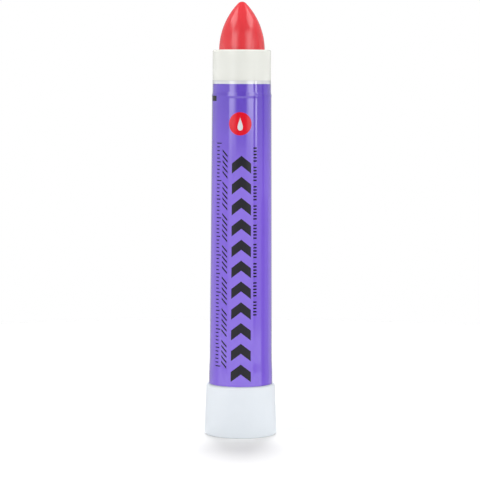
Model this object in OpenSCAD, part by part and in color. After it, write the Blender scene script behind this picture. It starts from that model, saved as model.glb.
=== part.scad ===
// Twist-up solid paint marker, standing on its knob with the cap off.
// Millimetres, +Z up, origin at the centre of the knob's underside.

/* [Paint stick] */
// Diameter of the stick of paint
stick_d = 12.3; // [10:0.1:16]
// Length of stick that stands out of the neck
stick_out = 12.9; // [6:0.1:20]
// Length of the nose, measured to the sharp point that its curve aims at
nose_len = 13.6; // [9:0.1:20]
// Radius of the blunted tip
nose_r = 1.5; // [0.6:0.1:2.5]
// Length of solid paint between the tip and the core hole
nose_solid = 15.4; // [12:0.1:25]

/* [Neck and barrel] */
// Length of bare neck above the label
neck_len = 8.2; // [5:0.1:15]
// How far the neck stands proud of the label
neck_proud = 0.01; // [0:0.01:0.2]
// Length of the narrow mouth that guides the stick
lip_len = 3.1; // [1:0.1:4]
// Rounding of the neck's outer rim
rim_edge = 0.5; // [0.1:0.05:0.7]
// Rounding of the mouth
mouth_edge = 0.25; // [0.05:0.05:0.4]
// Wall of the barrel under the top of the label
barrel_wall = 0.98; // [0.8:0.02:2]
// Radius that the moulding draft adds from the label's top edge down to the ring
draft_growth = 0.01; // [0.01:0.01:0.1]
// Radius that the step at the ring adds
step_growth = 0.13; // [0:0.01:0.3]
// Radius that the taper adds from the ring down to the flared foot
taper_growth = 0.44; // [0.1:0.01:1]
// Radius that the flared foot adds to the taper
flare_growth = 0.17; // [0:0.01:0.4]
// Height of the flared foot
flare_h = 3; // [1:0.1:8]
// Height over which the flare runs out into the taper
flare_run = 3.5; // [0.5:0.1:6]
// Distance from the label's top edge down to the raised ring
ring_drop = 4.15; // [2:0.05:9]
// Height of the raised ring
ring_h = 0.04; // [0.02:0.01:0.3]
// Width of the raised ring
ring_w = 1.2; // [0.4:0.1:2]
// Height of the ribs in the bore
rib_h = 0.45; // [0.3:0.05:0.8]
// Width of the ribs
rib_w = 1.2; // [0.8:0.1:2]
// Number of ribs
rib_count = 4; // [2:1:6]

/* [Label] */
// Length of the film label
label_len = 82.15; // [60:0.05:120]
// Thickness of the film
label_t = 0.12; // [0.05:0.01:0.3]
// Thickness of the glue under the film
label_glue = 0.02; // [0.01:0.01:0.05]

/* [Twist knob] */
// Height of the knob
knob_h = 13.65; // [9:0.05:25]
// Wall of the knob at its rim
knob_wall = 1.32; // [0.9:0.02:2.5]
// Radius that the knob gains from its rim down to its foot
knob_growth = 0.42; // [0:0.01:1.2]
// Thickness of the knob's floor
knob_floor = 1.6; // [1:0.1:3]
// Rounding of the knob's foot
foot_edge = 0.4; // [0.3:0.1:2.4]
// Rounding of the knob's rim
knob_edge = 0.5; // [0.1:0.05:0.8]
// Wall round the drive socket
hub_wall = 1.6; // [1:0.1:2.5]
// Diameter of the dimple under the knob
dimple_d = 5; // [2:0.5:10]
// Depth of the dimple
dimple_depth = 0.3; // [0.1:0.1:0.6]

/* [Lead screw] */
// Diameter over the thread
thread_d = 6.8; // [5:0.1:7.4]
// Depth of the thread
thread_depth = 1.2; // [0.6:0.1:1.6]
// Distance that the carrier climbs in one turn
thread_lead = 5; // [3:0.5:8]
// Thread left above the carrier's nut at the end of its climb
thread_spare = 1; // [0.5:0.1:3]
// Diameter of the bearing journal
journal_d = 5; // [4:0.1:6]
// Length of the square drive end
drive_len = 4.1; // [2.5:0.1:6]
// Diameter of the thrust flange
flange_d = 9; // [7.6:0.1:10]
// Thickness of the thrust flange
flange_t = 1.5; // [0.8:0.1:3]

/* [Bearing plug] */
// Thickness of the web that carries the journal
web_t = 3.4; // [2.4:0.1:5]
// Step in the bore that the plug is pushed up against
seat_step = 0.15; // [0.1:0.05:0.4]
// Wall of the barrel's spigot round the plug
spigot_wall = 0.85; // [0.6:0.05:1.2]
// Height of the snap ring round the plug
snap_h = 0.15; // [0.05:0.05:0.3]
// Width of the snap ring
snap_w = 1.2; // [0.6:0.1:2]

/* [Carrier] */
// Length of the nut
nut_h = 6; // [4:0.5:10]
// Depth of the cup that holds the stick's foot
cup_h = 5; // [2:0.5:10]
// Wall of the cup
cup_wall = 1; // [0.8:0.1:1.6]

/* [Clearances] */
// Round the stick, at the mouth and the ribs
guide_gap = 0.15; // [0.1:0.01:0.3]
// Round the carrier, in the bore
carrier_gap = 0.2; // [0.15:0.01:0.3]
// Round the ribs, in the carrier's notches
notch_gap = 0.25; // [0.15:0.01:0.4]
// Between thread and nut
thread_gap = 0.3; // [0.25:0.01:0.4]
// Round the thread, in the stick's core hole
core_gap = 0.35; // [0.3:0.01:0.6]
// Round the journal
journal_gap = 0.06; // [0.03:0.01:0.1]
// End play on each side of the plug's web
end_gap = 0.3; // [0.15:0.01:0.5]
// Between the drive end's corners and the journal's surface
drive_relief = 0.05; // [0.02:0.01:0.2]
// Below the drive end, in its socket
socket_gap = 0.3; // [0.1:0.05:0.6]
// Round the barrel's spigot, in the knob
knob_gap = 0.25; // [0.15:0.01:0.5]
// Between the knob's rim and the barrel's shoulder
shoulder_gap = 0.1; // [0.05:0.01:0.6]
// Below the barrel's spigot, in the knob
spigot_gap = 1.5; // [0.5:0.1:2.5]
// Below the carrier, when it is wound right down
stop_gap = 0.4; // [0.2:0.05:1]
// Above the lead screw, when the stick is wound right down
core_end_gap = 0.6; // [0.3:0.1:2]
// Depth of the tip below the neck's rim, when the stick is wound right down
tip_cover = 1.1; // [0.5:0.1:3]
// Grip of the pressed joints
press_grip = 0.02; // [0.01:0.01:0.05]
// Between the paint and the carrier's cup
cast_gap = 0.02; // [0.01:0.01:0.05]

/* [Hidden] */

// Facets of a circle
$fn = 96;
// Steps round an edge and along the nose
edge_steps = 6;
nose_steps = 18;
// Facets round the thread's form, and slices in one turn of it
thread_facets = 12;
slices_per_turn = 16;
// Overlap of shapes that are joined or cut
lap = 0.2;

// Heights, from the knob's underside up
drive_z = knob_floor + socket_gap;
hub_z = drive_z + drive_len;
web_z = hub_z + end_gap;
plug_floor_z = web_z + web_t;
flange_z = plug_floor_z + end_gap;
thread_z = flange_z + flange_t;
plug_top_z = thread_z;
spigot_z = knob_floor + spigot_gap;
shoulder_z = knob_h + shoulder_gap;
label_top_z = shoulder_z + label_len;
neck_top_z = label_top_z + neck_len;
lip_z = neck_top_z - lip_len;
tip_z = neck_top_z + stick_out;

// Travel of the stick from the pose drawn here, down and up
retract = stick_out + tip_cover;
carrier_z = plug_top_z + stop_gap + retract;
cup_z = carrier_z + nut_h;
carrier_top_z = cup_z + cup_h;
core_top_z = tip_z - nose_solid;
screw_top_z = core_top_z - retract - core_end_gap;
extend = screw_top_z - thread_spare - cup_z;
echo(retract = retract, extend = extend, turns_down = retract / thread_lead, turns_up = extend / thread_lead);

// Radii, from the stick outwards
stick_r = stick_d / 2;
guide_r = stick_r + guide_gap;
bore_r = guide_r + rib_h;
top_r = bore_r + barrel_wall;
draft_r = top_r + draft_growth;
step_r = draft_r + step_growth;
foot_r = step_r + taper_growth;
neck_r = top_r + label_glue + label_t + neck_proud;
seat_r = bore_r + seat_step;
spigot_r = seat_r + spigot_wall;
knob_in_r = spigot_r + knob_gap;
rim_r = knob_in_r + knob_wall;
knob_r = rim_r + knob_growth;

// Radii of the works
journal_r = journal_d / 2;
drive_side = (journal_d - 2 * drive_relief) / sqrt(2);
hub_r = journal_r + hub_wall;
flange_r = flange_d / 2;
carrier_r = bore_r - carrier_gap;
cup_r = carrier_r - cup_wall;
core_r = thread_d / 2 + core_gap;
thread_offset = thread_depth / 2;
thread_r = thread_d / 2 - thread_offset;

// Points of an arc round centre c, from angle a to angle b
function arc(c, r, a, b, steps = edge_steps) =
    [for (i = [0:steps]) let (t = a + (b - a) * i / steps) [c[0] + r * cos(t), c[1] + r * sin(t)]];

function reversed(points) = [for (i = [len(points) - 1:-1:0]) points[i]];

// A raised ring of height h and width w round a wall of radius r, centred at height z
function ring(r, z, h, w) = [[r, z - w / 2], [r + h, z - w / 4], [r + h, z + w / 4], [r, z + w / 2]];

// Outline of the barrel's wall from its shoulder to the label's top edge, grown outwards
function wall_outline(grow) = concat(
    [[foot_r + flare_growth + grow, shoulder_z],
     [foot_r + flare_growth + grow, shoulder_z + flare_h],
     [foot_r + grow, shoulder_z + flare_h + flare_run]],
    ring(step_r + grow, label_top_z - ring_drop, ring_h, ring_w),
    [[draft_r + grow, label_top_z - ring_drop + ring_w], [top_r + grow, label_top_z]]);

// The plug's snap ring and the groove that takes it
function snap_ring(r) = ring(r, web_z + web_t / 2, snap_h, snap_w);

// The round eccentric form of the thread, left-handed, between two heights
module thread(gap, from_z, to_z) {
    length = to_z - from_z;
    turns = length / thread_lead;
    start_angle = -360 * (from_z - thread_z) / thread_lead;
    translate([0, 0, from_z])
        rotate(start_angle)
            linear_extrude(length, twist = 360 * turns, slices = ceil(turns * slices_per_turn),
                           $fn = thread_facets)
                translate([thread_offset, 0])
                    circle(thread_r + gap);
}

// Copies round the axis, one at each rib
module at_ribs() {
    for (i = [0:rib_count - 1])
        rotate(i * 360 / rib_count)
            children();
}

module barrel() {
    section = concat(
        [[spigot_r, spigot_z], [spigot_r, shoulder_z]],
        wall_outline(0),
        [[neck_r, label_top_z]],
        arc([neck_r - rim_edge, neck_top_z - rim_edge], rim_edge, 0, 90),
        arc([guide_r + mouth_edge, neck_top_z - mouth_edge], mouth_edge, 90, 180),
        [[guide_r, lip_z], [bore_r, lip_z - rib_h], [bore_r, plug_top_z], [seat_r, plug_top_z]],
        reversed(snap_ring(seat_r)),
        [[seat_r, spigot_z]]);
    color("#ebeee7") {
        rotate_extrude()
            polygon(section);
        at_ribs()
            translate([guide_r, -rib_w / 2, plug_top_z])
                cube([rib_h + lap, rib_w, lip_z - lap - plug_top_z]);
    }
}

module label_film() {
    color("#7d5fd0")
        rotate_extrude()
            polygon(concat(wall_outline(label_glue + label_t), reversed(wall_outline(label_glue))));
}

module bearing_plug() {
    plug_r = seat_r + press_grip;
    hole_r = journal_r + journal_gap;
    recess_r = flange_r + end_gap;
    section = concat(
        [[hole_r, web_z], [plug_r, web_z]],
        snap_ring(plug_r),
        [[plug_r, plug_top_z], [recess_r, plug_top_z], [recess_r, plug_floor_z], [hole_r, plug_floor_z]]);
    color("#d8d4ca")
        rotate_extrude()
            polygon(section);
}

module twist_knob() {
    socket_side = drive_side - 2 * press_grip;
    section = concat(
        [[0, dimple_depth], [dimple_d / 2, dimple_depth], [dimple_d / 2, 0]],
        arc([knob_r - foot_edge, foot_edge], foot_edge, -90, 0),
        arc([rim_r - knob_edge, knob_h - knob_edge], knob_edge, 0, 90),
        [[knob_in_r, knob_h], [knob_in_r, knob_floor], [hub_r, knob_floor], [hub_r, hub_z], [0, hub_z]]);
    color("#e5ebf2")
        difference() {
            rotate_extrude()
                polygon(section);
            translate([-socket_side / 2, -socket_side / 2, knob_floor])
                cube([socket_side, socket_side, hub_z - knob_floor + lap]);
        }
}

module lead_screw() {
    color("#cfc8b8") {
        translate([-drive_side / 2, -drive_side / 2, drive_z])
            cube([drive_side, drive_side, drive_len + lap]);
        translate([0, 0, hub_z])
            cylinder(flange_z - hub_z + lap, r = journal_r);
        translate([0, 0, flange_z])
            cylinder(flange_t, r = flange_r);
        thread(0, thread_z - lap, screw_top_z);
    }
}

module carrier() {
    notch_r = guide_r - notch_gap;
    notch_w = rib_w + 2 * notch_gap;
    color("#b9c4cc")
        difference() {
            translate([0, 0, carrier_z])
                cylinder(nut_h + cup_h, r = carrier_r);
            translate([0, 0, cup_z])
                cylinder(cup_h + lap, r = cup_r);
            thread(thread_gap, carrier_z - lap, cup_z + lap);
            at_ribs()
                translate([notch_r, -notch_w / 2, carrier_z - lap])
                    cube([carrier_r - notch_r + lap, notch_w, nut_h + cup_h + 2 * lap]);
        }
}

module paint_stick() {
    curve_r = (pow(stick_r, 2) + pow(nose_len, 2)) / (2 * stick_r);
    inset = curve_r - stick_r;
    nose_run = sqrt(pow(curve_r - nose_r, 2) - pow(inset, 2));
    nose_z = tip_z - nose_r - nose_run;
    meet = atan2(nose_run, inset);
    socket_r = cup_r - cast_gap;
    section = concat(
        [[core_r, cup_z], [socket_r, cup_z], [socket_r, carrier_top_z], [stick_r, carrier_top_z]],
        arc([-inset, nose_z], curve_r, 0, meet, nose_steps),
        arc([0, tip_z - nose_r], nose_r, meet, 90),
        [[0, core_top_z], [core_r, core_top_z]]);
    color("#e8444b")
        rotate_extrude()
            polygon(section);
}

barrel();
label_film();
bearing_plug();
twist_knob();
lead_screw();
carrier();
paint_stick();
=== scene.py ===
import math

import bpy
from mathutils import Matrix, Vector


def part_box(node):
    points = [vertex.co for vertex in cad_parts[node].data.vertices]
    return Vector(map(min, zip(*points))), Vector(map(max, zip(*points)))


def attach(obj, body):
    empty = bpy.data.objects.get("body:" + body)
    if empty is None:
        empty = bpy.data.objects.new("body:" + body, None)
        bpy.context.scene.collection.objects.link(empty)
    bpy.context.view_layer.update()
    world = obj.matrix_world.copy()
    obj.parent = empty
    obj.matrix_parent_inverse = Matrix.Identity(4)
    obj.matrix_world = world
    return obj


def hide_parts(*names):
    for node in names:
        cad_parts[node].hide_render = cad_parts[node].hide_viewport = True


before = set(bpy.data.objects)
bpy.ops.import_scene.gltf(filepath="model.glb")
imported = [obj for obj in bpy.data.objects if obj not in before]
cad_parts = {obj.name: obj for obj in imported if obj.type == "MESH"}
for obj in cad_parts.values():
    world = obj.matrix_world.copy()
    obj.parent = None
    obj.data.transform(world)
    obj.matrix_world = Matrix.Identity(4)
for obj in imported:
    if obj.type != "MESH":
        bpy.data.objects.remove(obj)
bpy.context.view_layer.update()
mm = 0.001
print("frame loaded:", sorted(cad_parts))


# lathe tools, all sizes in millimetres

lathe = {"segments": 160, "cornerSteps": 6, "longestStep": 2.0, "support": 0.12, "sharpAngle": 32}


def corner(radius, height, rounding=0, form=None):
    # a corner of an outline; its form, if any, changes the radius with the angle
    return (radius, height, rounding, form)


def roundCorners(outline):
    # rounded corners become short curves
    points = []
    for i, (r, z, rounding, form) in enumerate(outline):
        if not rounding:
            points.append((r, z, form))
            continue
        here = Vector((r, z))
        before = (Vector(outline[i - 1][:2]) - here).normalized()
        after = (Vector(outline[(i + 1) % len(outline)][:2]) - here).normalized()
        half = before.angle(after) / 2
        centre = here + (before + after).normalized() * rounding / math.sin(half)
        start = (here + before * rounding / math.tan(half) - centre).normalized()
        end = (here + after * rounding / math.tan(half) - centre).normalized()
        for k in range(lathe["cornerSteps"] + 1):
            p = centre + start.slerp(end, k / lathe["cornerSteps"]) * rounding
            points.append((p.x, p.y, form))
    return points


def splitLongSteps(points):
    # long stretches get support rings at their ends and even steps between
    out = []
    for (r, z, form), (r2, z2, form2) in zip(points, points[1:] + points[:1]):
        out.append((r, z, form))
        length = math.hypot(r2 - r, z2 - z)
        if length < 4 * lathe["support"] or (r == 0 and r2 == 0):
            continue
        count = max(1, round(length / lathe["longestStep"]))
        near = lathe["support"] / length
        shares = [near] + [k / count for k in range(1, count)] + [1 - near]
        if form == form2:
            out += [(r + (r2 - r) * t, z + (z2 - z) * t, form) for t in shares]
    return out


def newObject(name, verts, faces):
    mesh = bpy.data.meshes.new(name)
    mesh.from_pydata(verts, [], faces)
    made = bpy.data.objects.new(name, mesh)
    bpy.context.scene.collection.objects.link(made)
    return made


def turnProfile(name, outline, forms=None, extraAngles=()):
    # spins a closed outline round the axis, with angles counted from the front
    forms = forms or {}
    points = splitLongSteps(roundCorners(outline))
    angles = sorted([360 * k / lathe["segments"] for k in range(lathe["segments"])] + list(extraAngles))
    lengths = [0.0]
    for (r, z, _), (r2, z2, _) in zip(points, points[1:] + points[:1]):
        lengths.append(lengths[-1] + math.hypot(r2 - r, z2 - z))
    verts, rings = [], []
    for r, z, form in points:
        if r == 0:
            rings.append([len(verts)] * len(angles))
            verts.append((0, 0, z * mm))
            continue
        ring = []
        for angle in angles:
            radius = forms[form](r, angle) if form else r
            turn = math.radians(angle)
            ring.append(len(verts))
            verts.append((radius * math.sin(turn) * mm, -radius * math.cos(turn) * mm, z * mm))
        rings.append(ring)
    faces, uvs = [], []
    for i, ring in enumerate(rings):
        upper = rings[(i + 1) % len(rings)]
        low, high = lengths[i] / lengths[-1], lengths[i + 1] / lengths[-1]
        for k in range(len(angles)):
            n = (k + 1) % len(angles)
            left, right = angles[k] / 360, (angles[n] or 360) / 360
            corners = [(ring[k], left, low), (ring[n], right, low),
                       (upper[n], right, high), (upper[k], left, high)]
            kept = [c for j, c in enumerate(corners) if c[0] != corners[j - 1][0]]
            if len({c[0] for c in kept}) < 3:
                continue
            faces.append([c[0] for c in kept])
            uvs += [(u, v) for _, u, v in kept]
    piece = newObject(name, verts, faces)
    layer = piece.data.uv_layers.new(name="turned")
    for loop, uv in zip(layer.data, uvs):
        loop.uv = uv
    piece.data.shade_smooth()
    piece.data.set_sharp_from_angle(angle=math.radians(lathe["sharpAngle"]))
    return piece


def place(piece, body, node, material):
    piece.data.materials.append(material)
    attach(piece, body)
    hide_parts(node)
    print("made", piece.name, len(piece.data.polygons), "faces")


def nodeSize(node):
    low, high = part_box(node)
    return high.x / mm, low.z / mm, high.z / mm  # radius, foot and top


# shader tools

class Wire:
    # a socket that can be used in sums; without a socket it is the tree alone
    def __init__(self, tree, socket=None):
        self.tree = tree
        self.socket = socket

    def add(self, kind, settings=None, inputs=None, output=0):
        node = self.tree.nodes.new(kind)
        for key, value in (settings or {}).items():
            setattr(node, key, value)
        for key, value in (inputs or {}).items():
            if isinstance(value, Wire):
                self.tree.links.new(value.socket, node.inputs[key])
            else:
                node.inputs[key].default_value = value
        return Wire(self.tree, node.outputs[output])

    def math(self, operation, *values):
        return self.add("ShaderNodeMath", {"operation": operation}, dict(enumerate((self, *values))))

    def flipped(self, operation, value):
        return self.add("ShaderNodeMath", {"operation": operation}, {0: value, 1: self})

    def __add__(self, value):
        return self.math("ADD", value)

    def __sub__(self, value):
        return self.math("SUBTRACT", value)

    def __rsub__(self, value):
        return self.flipped("SUBTRACT", value)

    def __mul__(self, value):
        return self.math("MULTIPLY", value)

    def __truediv__(self, value):
        return self.math("DIVIDE", value)

    def __rtruediv__(self, value):
        return self.flipped("DIVIDE", value)

    def __mod__(self, value):
        return self.math("FLOORED_MODULO", value)

    def __rmod__(self, value):
        return self.flipped("FLOORED_MODULO", value)

    def __lt__(self, value):
        return self.math("LESS_THAN", value)

    def __gt__(self, value):
        return self.math("GREATER_THAN", value)

    def __or__(self, value):
        return self.math("MAXIMUM", value)

    def __abs__(self):
        return self.math("ABSOLUTE")

    __radd__ = __add__
    __rmul__ = __mul__
    __ror__ = __or__


def newMaterial(name):
    material = bpy.data.materials.new(name)
    material.use_nodes = True
    return material, Wire(material.node_tree), material.node_tree.nodes["Principled BSDF"]


def feed(shader, socketName, wire):
    wire.tree.links.new(wire.socket, shader.inputs[socketName])


def setSockets(shader, values):
    for socketName, value in values.items():
        shader.inputs[socketName].default_value = value


def mixColours(factor, first, second):
    return factor.add("ShaderNodeMix", {"data_type": "RGBA"}, {0: factor, 6: first, 7: second}, output=2)


def noise(spot, scale, detail=3.0, stretch=(1, 1, 1)):
    moved = spot.add("ShaderNodeVectorMath", {"operation": "MULTIPLY"}, {0: spot, 1: stretch})
    return spot.add("ShaderNodeTexNoise", {}, {"Vector": moved, "Scale": scale, "Detail": detail})


def vary(middle, spread, texture):
    # a value that a texture of 0 to 1 moves to both sides of its middle
    return middle - spread / 2 + spread * texture


def bumpNormal(height, strength, depth):
    return height.add("ShaderNodeBump", {}, {"Strength": strength, "Distance": depth * mm, "Height": height})


def srgb(r, g, b):
    def linear(c):
        c /= 255
        return c / 12.92 if c <= 0.04045 else ((c + 0.055) / 1.055) ** 2.4
    return (linear(r), linear(g), linear(b), 1)


# satin moulding, for the white pieces and the inner works

moulding = {"cloudScale": 220, "flowScale": 500, "flowStretch": (1, 1, 0.05), "skinScale": 4200,
            "roughnessSpread": 0.12, "skinDepth": 0.02,
            "ior": 1.45, "scatter": 0.3, "scatterDepth": 1.2}


def mouldedPlastic(name, look):
    # cloudy colour, fine skin texture and faint flow lines down the draw
    material, tree, shader = newMaterial(name)
    spot = tree.add("ShaderNodeTexCoord", output="Object")
    cloud = noise(spot, moulding["cloudScale"])
    flow = noise(spot, moulding["flowScale"], stretch=moulding["flowStretch"])
    skin = noise(spot, moulding["skinScale"], detail=2)
    feed(shader, "Base Color", mixColours(cloud * 0.7 + flow * 0.3, look["deep"], look["pale"]))
    feed(shader, "Roughness", vary(look["roughness"], moulding["roughnessSpread"], cloud * 0.4 + skin * 0.6))
    feed(shader, "Normal", bumpNormal(skin * 0.7 + flow * 0.3, look["grain"], moulding["skinDepth"]))
    setSockets(shader, {"IOR": moulding["ior"], "Subsurface Weight": moulding["scatter"],
                        "Subsurface Radius": (1, 1, 1), "Subsurface Scale": moulding["scatterDepth"] * mm})
    return material


# paint stick

stick = {"noseLength": 13.6, "tipRadius": 1.5, "noseSteps": 40, "tipSteps": 10, "solidNose": 15.4,
         "coreRadius": 3.75, "socketRadius": 5.53, "socketHeight": 5.0, "socketRound": 0.1,
         "pale": srgb(231, 68, 74), "deep": srgb(222, 56, 64),
         "mottleScale": 260, "streakScale": 900, "streakStretch": (1, 1, 0.08), "grainScale": 3500,
         "roughness": 0.19, "roughnessSpread": 0.16, "bump": 0.25, "bumpDepth": 0.05,
         "ior": 1.58, "scatter": 0.12, "scatterTint": (1.0, 0.25, 0.2), "scatterDepth": 1.0}


def makeStick():
    radius, footZ, tipZ = nodeSize("paint_stick")
    tipRadius = stick["tipRadius"]
    tipCentre = tipZ - tipRadius
    curve = (radius ** 2 + stick["noseLength"] ** 2) / (2 * radius)  # radius of the nose's arc
    inset = curve - radius
    run = math.sqrt((curve - tipRadius) ** 2 - inset ** 2)
    noseZ = tipCentre - run
    meet = math.atan2(run, inset)  # where the arc meets the round tip
    socketTop = footZ + stick["socketHeight"]
    coreTop = tipZ - stick["solidNose"]
    outline = [corner(stick["coreRadius"], footZ), corner(stick["socketRadius"], footZ),
               corner(stick["socketRadius"], socketTop), corner(radius, socketTop, stick["socketRound"])]
    for k in range(stick["noseSteps"] + 1):
        t = meet * k / stick["noseSteps"]
        outline.append(corner(curve * math.cos(t) - inset, noseZ + curve * math.sin(t)))
    for k in range(1, stick["tipSteps"]):
        t = meet + (math.pi / 2 - meet) * k / stick["tipSteps"]
        outline.append(corner(tipRadius * math.cos(t), tipCentre + tipRadius * math.sin(t)))
    outline += [corner(0, tipZ), corner(0, coreTop), corner(stick["coreRadius"], coreTop)]
    return turnProfile("red_paint_stick", outline)


def waxyPaint():
    material, tree, shader = newMaterial("waxy_red_paint")
    spot = tree.add("ShaderNodeTexCoord", output="Object")
    mottle = noise(spot, stick["mottleScale"], detail=4)
    streak = noise(spot, stick["streakScale"], stretch=stick["streakStretch"])  # drawn down the mould
    grain = noise(spot, stick["grainScale"], detail=2)
    bump = grain * 0.4 + mottle * 0.4 + streak * 0.2
    feed(shader, "Base Color", mixColours(mottle * 0.6 + streak * 0.4, stick["deep"], stick["pale"]))
    feed(shader, "Roughness", vary(stick["roughness"], stick["roughnessSpread"], mottle * 0.5 + streak * 0.5))
    feed(shader, "Normal", bumpNormal(bump, stick["bump"], stick["bumpDepth"]))
    setSockets(shader, {"IOR": stick["ior"], "Subsurface Weight": stick["scatter"],
                        "Subsurface Radius": stick["scatterTint"],
                        "Subsurface Scale": stick["scatterDepth"] * mm})
    return material


place(makeStick(), "stick", "paint_stick", waxyPaint())


# barrel with its neck

barrel = {"spigotRadius": 7.75, "shoulderZ": 13.75,
          "flareRadius": 8.48, "flareHeight": 3.0, "flareRun": 3.5, "flareRound": 40,
          "taperRadius": 8.31, "stepRadius": 7.87, "draftRadius": 7.74, "topRadius": 7.73,
          "ringDrop": 4.15, "ringHeight": 0.035, "ringWidth": 1.2, "ringSteps": 30,
          "neckRadius": 7.88, "neckEdge": 0.03, "rimRound": 0.5, "mouthRound": 0.25, "lipLength": 3.1,
          "guideRadius": 6.3, "boreRadius": 6.75, "plugTop": 11.5, "plugRadius": 6.9,
          "ribCount": 4, "ribWidth": 1.2,
          "pale": srgb(232, 233, 227), "deep": srgb(226, 227, 220), "roughness": 0.25, "grain": 0.25}
labelTop = nodeSize("label_film")[2]


def wallOutline(grow, lift=0):
    # the wall from the shoulder up to the label's top edge, with the raised ring and the step above it
    foot = barrel["shoulderZ"]
    flareTop = foot + barrel["flareHeight"]
    ringZ, width = labelTop - barrel["ringDrop"], barrel["ringWidth"]
    points = [corner(barrel["flareRadius"] + grow, foot + lift),
              corner(barrel["flareRadius"] + grow, flareTop, barrel["flareRound"]),
              corner(barrel["taperRadius"] + grow, flareTop + barrel["flareRun"], barrel["flareRound"])]
    for k in range(barrel["ringSteps"] + 1):
        up = 1.5 * k / barrel["ringSteps"] - 0.5  # ring widths above the crest
        swell = barrel["ringHeight"] * (1 + math.cos(2 * math.pi * up)) / 2 if up < 0.5 else 0
        fall = (1 - math.cos(math.pi * max(0, up))) / 2
        radius = barrel["stepRadius"] + (barrel["draftRadius"] - barrel["stepRadius"]) * fall + swell
        points.append(corner(radius + grow, ringZ + up * width))
    return points + [corner(barrel["topRadius"] + grow, labelTop)]


def ribForm(radius, angle):
    # ribs stand on the +X axis and at even turns from it
    pitch = 360 / barrel["ribCount"]
    off = abs((angle - 90 + pitch / 2) % pitch - pitch / 2)
    halfAngle = math.degrees(math.asin(barrel["ribWidth"] / 2 / barrel["guideRadius"]))
    return barrel["guideRadius"] if off <= halfAngle else radius


def makeBarrel():
    _, footZ, topZ = nodeSize("barrel")
    lipZ = topZ - barrel["lipLength"]
    slope = barrel["boreRadius"] - barrel["guideRadius"]
    outline = [corner(barrel["spigotRadius"], footZ), corner(barrel["spigotRadius"], barrel["shoulderZ"])]
    outline += wallOutline(0)
    outline += [corner(barrel["neckRadius"], labelTop, barrel["neckEdge"]),
                corner(barrel["neckRadius"], topZ, barrel["rimRound"]),
                corner(barrel["guideRadius"], topZ, barrel["mouthRound"]),
                corner(barrel["guideRadius"], lipZ),
                corner(barrel["boreRadius"], lipZ - slope, form="ribs"),
                corner(barrel["boreRadius"], barrel["plugTop"], form="ribs"),
                corner(barrel["plugRadius"], barrel["plugTop"]),
                corner(barrel["plugRadius"], footZ)]
    return turnProfile("white_barrel", outline, {"ribs": ribForm})


place(makeBarrel(), "barrel", "barrel", mouldedPlastic("warm_white_plastic", barrel))


# film label

film = {"glue": 0.02, "thickness": 0.12, "footLift": 0.06,
        "seamAngle": 186, "seamWidth": 0.1, "overlap": 14, "ramp": 5, "step": 0.05,  # degrees, step in mm
        "margin": 0.93, "wrapRadius": 8.1, "groupSize": 5,
        # the two violets and the heights between them are painted light: lighter at the foot, deeper near the
        # top
        "violetFoot": srgb(126, 92, 219), "violetTop": srgb(102, 74, 195), "paintedLightFoot": 64.0, "paintedLightTop": 94.0,
        "white": srgb(215, 217, 220), "black": srgb(22, 21, 30), "red": srgb(222, 20, 40),
        "markZ": 84.4, "markSide": -0.4, "markRadius": 3.1, "dropLength": 3.6, "dropWidth": 0.55,
        "arrowFoot": 17.2, "arrowPitch": 5.6, "arrowThick": 2.7, "arrowHalf": 2.6, "arrowSlope": 0.8,
        "arrowCount": 11,
        "scaleSide": -7.6, "scaleFoot": 19.0, "scaleLength": 60.0, "scaleLine": 0.3,
        "scaleReach": 1.1, "scaleExtra": 0.35,
        "hatchSide": -4.65, "hatchTall": 1.6, "hatchPitch": 1.42, "hatchLine": 0.56, "hatchFoot": 19.4,
        "hatchCount": 41,
        "tickSide": 3.75, "tickTall": 1.0, "tickPitch": 0.86, "tickLine": 0.42, "tickFoot": 33.0,
        "tickCount": 53,
        "barSide": -9.65, "barTall": 3.1, "barFoot": 90.4, "barTop": 91.8,
        "cloudScale": 180, "patchiness": 0.2, "waveScale": 140, "waveStretch": (1, 1, 0.35),
        "skinScale": 3000,
        "roughness": 0.1, "roughnessSpread": 0.06, "inkRoughness": 0.1, "inkDulling": 0.85,
        "bump": 0.2, "bumpDepth": 0.02, "ior": 1.3, "coatIor": 1.72, "coatRoughness": 0.1}


def wrapForm(radius, angle):
    # the outer end of the film lies over the inner end
    past = (film["seamAngle"] - angle) % 360
    fall = (past - film["overlap"]) / film["ramp"]
    return radius + film["step"] * (1 if fall < 0 else max(0, 1 - fall))


def makeFilm():
    outside = wallOutline(film["glue"] + film["thickness"], film["footLift"])
    inside = wallOutline(film["glue"], film["footLift"])
    outer = [corner(r, z, rounding, "wrap") for r, z, rounding, _ in outside]
    seam, half = film["seamAngle"], film["seamWidth"] / 2
    return turnProfile("violet_film_label", outer + inside[::-1], {"wrap": wrapForm},
                       extraAngles=(seam - half, seam + half))


def band(value, low, high):
    return (value > low) * (value < high)


def strip(value, middle, width):
    return abs(value - middle) < width / 2


def strokes(along, pitch, line, count):
    # even strokes in groups, with one left out after each group
    size = film["groupSize"]
    grouped = (along % ((size + 1) * pitch)) < size * pitch
    return ((along % pitch) < line) * grouped * band(along, 0, count * pitch)


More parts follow.
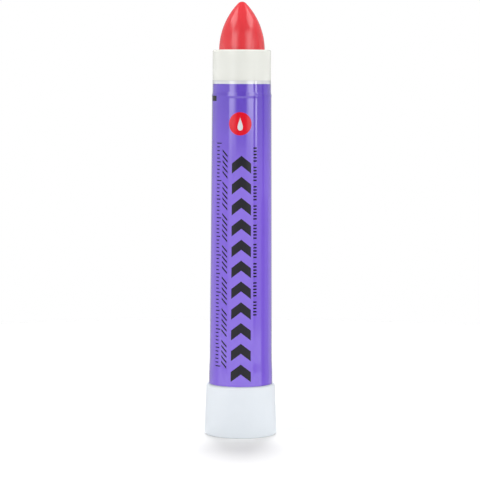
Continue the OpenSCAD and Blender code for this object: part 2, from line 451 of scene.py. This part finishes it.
def printMasks(side, height):
    # black marks: arrow bands, a scale, a slanted hatch, ticks and a small bar
    rise = height - film["arrowFoot"] + abs(side) * film["arrowSlope"]
    arrows = ((rise % film["arrowPitch"]) < film["arrowThick"]) * (abs(side) < film["arrowHalf"])
    arrows = arrows * band(rise, 0, film["arrowPitch"] * film["arrowCount"])

    # a line for each millimetre, longer at each 5 and longest at each 10
    along = height - film["scaleFoot"]
    longer = ((along % 5) < film["scaleLine"]) + ((along % 10) < film["scaleLine"])
    reach = film["scaleReach"] + film["scaleExtra"] * longer
    scale = ((along % 1) < film["scaleLine"]) * band(side - film["scaleSide"], 0, reach)
    scale = scale * band(along, 0, film["scaleLength"] + film["scaleLine"])

    slant = height - film["hatchFoot"] + side - film["hatchSide"]
    hatch = strokes(slant, film["hatchPitch"], film["hatchLine"], film["hatchCount"])
    hatch = hatch * strip(side, film["hatchSide"], film["hatchTall"])

    ticks = strokes(height - film["tickFoot"], film["tickPitch"], film["tickLine"], film["tickCount"])
    ticks = ticks * strip(side, film["tickSide"], film["tickTall"])

    bar = strip(side, film["barSide"], film["barTall"]) * band(height, film["barFoot"], film["barTop"])
    return arrows | scale | hatch | ticks | bar


def printedFilm():
    material, tree, shader = newMaterial("violet_printed_film")
    spot = tree.add("ShaderNodeTexCoord", output="Object")
    x, y, z = (spot.add("ShaderNodeSeparateXYZ", {}, {0: spot}, output=axis) for axis in "XYZ")
    side = x.math("ARCTAN2", 0 - y) * film["wrapRadius"]  # millimetres round the wall from the front
    height = z / mm
    black = printMasks(side, height)

    # a red disc with a white drop in it
    across = side - film["markSide"]
    up = height - film["markZ"]
    red = (across * across + up * up).math("SQRT") < film["markRadius"]
    tall = up / (film["dropLength"] / 2)
    width = film["dropWidth"] * (1 - tall) * ((1 - tall * tall) | 0).math("SQRT")
    drop = (abs(across) < width) * red

    cloud = noise(spot, film["cloudScale"])
    wave = noise(spot, film["waveScale"], stretch=film["waveStretch"])
    skin = noise(spot, film["skinScale"], detail=2)
    # painted light: the violet is painted lighter towards the foot and deeper near the top, standing in for
    # the floor's light and its reflection on the lower film
    paintedFloorLight = height.add("ShaderNodeMapRange", {"interpolation_type": "SMOOTHSTEP"},
                      {0: height, 1: film["paintedLightFoot"], 2: film["paintedLightTop"]})
    colour = mixColours(paintedFloorLight + film["patchiness"] * (cloud - 0.5), film["violetFoot"], film["violetTop"])
    margin = height > labelTop - film["margin"]
    for mask, ink in ((margin, "white"), (black, "black"), (red, "red"), (drop, "white")):
        colour = mixColours(mask, colour, film[ink])
    roughness = vary(film["roughness"], film["roughnessSpread"], cloud * 0.5 + skin * 0.5)
    bump = wave * 0.9 + skin * 0.05 + black * 0.05
    feed(shader, "Base Color", colour)
    feed(shader, "Roughness", roughness + film["inkRoughness"] * black)
    feed(shader, "Coat Weight", 1 - film["inkDulling"] * (black | red))  # solid ink is duller than the film
    feed(shader, "Normal", bumpNormal(bump, film["bump"], film["bumpDepth"]))
    setSockets(shader, {"IOR": film["ior"], "Coat IOR": film["coatIor"],
                        "Coat Roughness": film["coatRoughness"]})
    return material


place(makeFilm(), "barrel", "label_film", printedFilm())


# twist knob

knob = {"rimRadius": 9.32, "rimLift": 0.08, "rimRound": 0.7, "footRound": 0.25, "footLand": 0.02,
        "innerRadius": 8.0, "mouthRound": 0.1, "floorZ": 1.6, "hubRadius": 4.1, "hubTop": 6.0,
        "socketHalf": 1.712, "dimpleRadius": 2.5, "dimpleDepth": 0.3, "dimpleRound": 0.08,
        "gateRadius": 0.6, "gateHeight": 0.15, "gateRound": 0.05, "gateRun": 0.1,
        "pale": srgb(232, 237, 242), "deep": srgb(227, 233, 239), "roughness": 0.52, "grain": 0.3}


def socketForm(half, angle):
    # a square, given by half its width
    turn = math.radians(angle)
    return half / max(abs(math.cos(turn)), abs(math.sin(turn)))


def makeKnob():
    wide, _, topZ = nodeSize("twist_knob")
    topZ += knob["rimLift"]
    gateZ = knob["dimpleDepth"] - knob["gateHeight"]
    outline = [corner(0, gateZ), corner(knob["gateRadius"], gateZ, knob["gateRound"]),
               corner(knob["gateRadius"] + knob["gateRun"], knob["dimpleDepth"]),
               corner(knob["dimpleRadius"], knob["dimpleDepth"]),
               corner(knob["dimpleRadius"], 0, knob["dimpleRound"]),
               corner(wide, 0, knob["footRound"]), corner(wide, knob["footRound"] + knob["footLand"]),
               corner(knob["rimRadius"], topZ, knob["rimRound"]),
               corner(knob["innerRadius"], topZ, knob["mouthRound"]),
               corner(knob["innerRadius"], knob["floorZ"]),
               corner(knob["hubRadius"], knob["floorZ"]), corner(knob["hubRadius"], knob["hubTop"]),
               corner(knob["socketHalf"], knob["hubTop"], form="socket"),
               corner(knob["socketHalf"], knob["floorZ"], form="socket"),
               corner(0, knob["floorZ"])]
    return turnProfile("white_twist_knob", outline, {"socket": socketForm})


place(makeKnob(), "knob", "twist_knob", mouldedPlastic("cool_white_plastic", knob))


# inner works, which keep their CAD shapes

works = {"tones": {"bearing_plug": srgb(216, 212, 202), "lead_screw": srgb(207, 200, 184),
                   "carrier": srgb(185, 196, 204)},
         "shade": 0.9, "roughness": 0.48, "grain": 0.3}


def finishWorks():
    for node, tone in works["tones"].items():
        darker = tuple(c * works["shade"] for c in tone[:3]) + (1,)
        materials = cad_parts[node].data.materials
        materials.clear()
        materials.append(mouldedPlastic(node + "_plastic", {**works, "pale": tone, "deep": darker}))
    print("inner works finished:", sorted(works["tones"]))


finishWorks()


# studio: pale floor, white surroundings, soft lights and reflector panels, in metres

studio = {"floorRadius": 0.26, "floorSides": 96, "floorColour": srgb(244, 244, 244), "floorRoughness": 0.9,
          "world": 1.0, "glow": 0.85,
          "overhead": {"at": (0, 0.245, 0.912), "size": (0.12, 0.2), "radiance": 65},
          "topStrips": [((-0.43, -0.11, 0.6), (0.5, 0.3), 3.2), ((0.45, -0.09, 0.6), (0.5, 0.3), 3.3)],
          "stripAim": 0.1,
          "fill": {"aside": 0.38, "behind": 0.14, "high": 0.14, "aim": 0.11, "size": (0.2, 0.07),
                   "radiance": 0.22, "spread": 20},
          "ceilingHigh": 0.95, "ceiling": 0.08, "panelFar": 0.8, "panelStep": 6}

# reflector panels round the set: name, azimuth from and to, height from and to, brightness
panels = [
    ("front", -20, 17, 0.06, 0.95, 0.1),
    ("left_box", -49, -31, 0.08, 0.2, 3.5),
    ("left_box_edge", -31, -25, 0.08, 0.2, 2.1),
    ("left_box_rim", -25, -20, 0.08, 0.2, 0.8),
    ("left_box_upper", -54, -30, 0.2, 0.42, 3.4),
    ("left_box_crown", -60, -30, 0.42, 0.56, 3.4),
    ("left_box_upper_edge", -30, -20, 0.2, 0.56, 1.6),
    ("left_box_top", -60, -20, 0.56, 0.64, 1.5),
    ("left_box_foot", -49, -27, 0.066, 0.08, 2.3),
    ("left_box_fade", -49, -36, 0.052, 0.066, 1.6),
    ("left_box_faded", -36, -27, 0.04, 0.066, 0.6),
    ("left_box_end", -49, -36, 0.04, 0.052, 1.1),
    ("left_above", -60, -20, 0.64, 0.95, 0.2),
    ("right_box", 27, 46.5, 0.08, 0.2, 3.9),
    ("right_box_edge", 21, 27, 0.08, 0.2, 2.3),
    ("right_box_rim", 17, 21, 0.08, 0.2, 0.8),
    ("right_box_upper", 30, 51, 0.2, 0.42, 3.4),
    ("right_box_crown", 30, 60, 0.42, 0.56, 3.4),
    ("right_box_upper_edge", 19, 30, 0.2, 0.56, 1.6),
    ("right_box_top", 17, 60, 0.56, 0.64, 1.5),
    ("right_box_foot", 24, 46.5, 0.066, 0.08, 2.3),
    ("right_box_fade", 36, 46.5, 0.052, 0.066, 1.9),
    ("right_box_faded", 24, 36, 0.04, 0.066, 1.0),
    ("right_box_end", 36, 46.5, 0.04, 0.052, 1.2),
    ("right_above", 17, 60, 0.64, 0.95, 0.2),
    ("left_wall", -130, -49, -0.3, 0.2, 0.75),
    ("left_wall_mid", -130, -60, 0.2, 0.35, 0.6),
    ("left_wall_above", -130, -60, 0.35, 0.95, 0.45),
    ("right_gap", 46.5, 54, -0.3, 0.2, 0.15),
    ("right_thin", 54, 61.5, 0.06, 0.2, 4.5),
    ("right_thin_upper", 60, 65, 0.2, 0.4, 3.4),
    ("right_thin_below", 54, 61.5, -0.3, 0.06, 0.5),
    ("right_near", 61.5, 87, -0.3, 0.2, 0.6),
    ("right_near_mid", 65, 87, 0.2, 0.35, 0.8),
    ("right_streak", 87, 96, -0.3, 0.95, 0.05),
    ("right_wall", 96, 130, -0.3, 0.35, 0.55),
    ("right_near_above", 60, 87, 0.35, 0.95, 0.5),
    ("right_wall_above", 96, 130, 0.35, 0.95, 0.45),
    ("back", 130, 230, -0.3, 0.95, 0.55),
]

# small cards close to the foot, seen only in reflections; the last number is their distance
nearCards = [
    ("right_flag", 78, 96, 0, 0.06, 0.1, 0.09),
    ("right_side", 96, 120, 0, 0.06, 0.36, 0.09),
    ("right_edge", 120, 130, 0, 0.06, 0.65, 0.09),
    ("left_side", -130, -85, 0, 0.06, 0.65, 0.09),
    ("back_near", 130, 230, 0, 0.06, 0.55, 0.09),
    ("knob_flag", 100, 260, 0, 0.012, 0.3, 0.016),
]


def makeFloor():
    count, radius = studio["floorSides"], studio["floorRadius"]
    turns = [2 * math.pi * k / count for k in range(count)]
    ring = [(radius * math.cos(t), radius * math.sin(t), 0) for t in turns]
    floor = newObject("pale_floor", ring, [list(range(count))])
    material, _, shader = newMaterial("pale_floor")
    setSockets(shader, {"Base Color": studio["floorColour"], "Roughness": studio["floorRoughness"]})
    floor.data.materials.append(material)


def softLight(name, at, size, radiance, aim, mirrored=True, spread=180):
    light = bpy.data.lights.new(name, "AREA")
    light.shape = "RECTANGLE"
    light.size, light.size_y = size
    light.energy = radiance * math.pi * size[0] * size[1]
    light.spread = math.radians(spread)
    lamp = bpy.data.objects.new(name, light)
    lamp.location = at
    lamp.rotation_euler = (Vector(aim) - Vector(at)).to_track_quat("-Z", "Y").to_euler()
    lamp.visible_camera = False
    lamp.visible_glossy = mirrored
    bpy.context.scene.collection.objects.link(lamp)


def glowSheet(name, verts, faces, brightness, mirroredOnly=False):
    # an evenly glowing sheet round the set, which the camera itself doesn't see
    sheet = newObject(name, verts, faces)
    sheet.visible_camera = False
    sheet.visible_diffuse = sheet.visible_shadow = not mirroredOnly
    material, _, shader = newMaterial(name)
    setSockets(shader, {"Base Color": (0, 0, 0, 1), "Specular IOR Level": 0,
                        "Emission Color": (1, 1, 1, 1), "Emission Strength": brightness * studio["glow"]})
    sheet.data.materials.append(material)


def reflectorPanel(name, first, last, low, high, brightness, far, mirroredOnly=False):
    # a curved panel round the axis, with azimuth 0 at the front
    count = max(1, round((last - first) / studio["panelStep"]))
    verts = []
    for k in range(count + 1):
        turn = math.radians(first + (last - first) * k / count)
        x, y = far * math.sin(turn), -far * math.cos(turn)
        verts += [(x, y, low), (x, y, high)]
    faces = [(2 * k, 2 * k + 2, 2 * k + 3, 2 * k + 1) for k in range(count)]
    glowSheet(name, verts, faces, brightness, mirroredOnly)


def makeWorld():
    world = bpy.data.worlds.new("white_room")
    world.use_nodes = True
    setSockets(world.node_tree.nodes["Background"], {"Color": (1, 1, 1, 1), "Strength": studio["world"]})
    bpy.context.scene.world = world


def makeLights():
    top, fill = studio["overhead"], studio["fill"]
    softLight("overhead_light", top["at"], top["size"], top["radiance"], (0, 0, 0), mirrored=False)
    for at, size, radiance in studio["topStrips"]:
        softLight("top_strip", at, size, radiance * studio["glow"], (0, at[1], studio["stripAim"]))
    for side in (-1, 1):
        at = (side * fill["aside"], fill["behind"], fill["high"])
        softLight("side_fill", at, fill["size"], fill["radiance"], (0, 0, fill["aim"]),
                  mirrored=False, spread=fill["spread"])


def makePanels():
    far, high = studio["panelFar"], studio["ceilingHigh"]
    for panel in panels:
        reflectorPanel(*panel, far)
    for card in nearCards:
        reflectorPanel(*card, mirroredOnly=True)
    glowSheet("ceiling", [(-far, -far, high), (far, -far, high), (far, far, high), (-far, far, high)],
              [(0, 1, 2, 3)], studio["ceiling"])


makeFloor()
makeWorld()
makeLights()
makePanels()
print("studio lit")


# camera, level with the neck and pitched down a little

camera = {"far": 0.55, "high": 0.097, "aside": -0.00033, "pitch": 4.6, "roll": 0.21, "lens": 152.6,
          "sensor": 36, "clipNear": 0.01, "clipFar": 20}


def makeCamera():
    lens = bpy.data.cameras.new("photo_camera")
    lens.lens = camera["lens"]
    lens.sensor_width = camera["sensor"]
    lens.clip_start, lens.clip_end = camera["clipNear"], camera["clipFar"]
    viewer = bpy.data.objects.new("photo_camera", lens)
    viewer.location = (camera["aside"], -camera["far"], camera["high"])
    viewer.rotation_euler = (math.radians(90 - camera["pitch"]), 0, 0)
    viewer.rotation_euler.rotate_axis("Z", math.radians(camera["roll"]))
    bpy.context.scene.collection.objects.link(viewer)
    bpy.context.scene.camera = viewer


makeCamera()
bpy.context.scene.view_settings.view_transform = "Standard"
print("camera set")
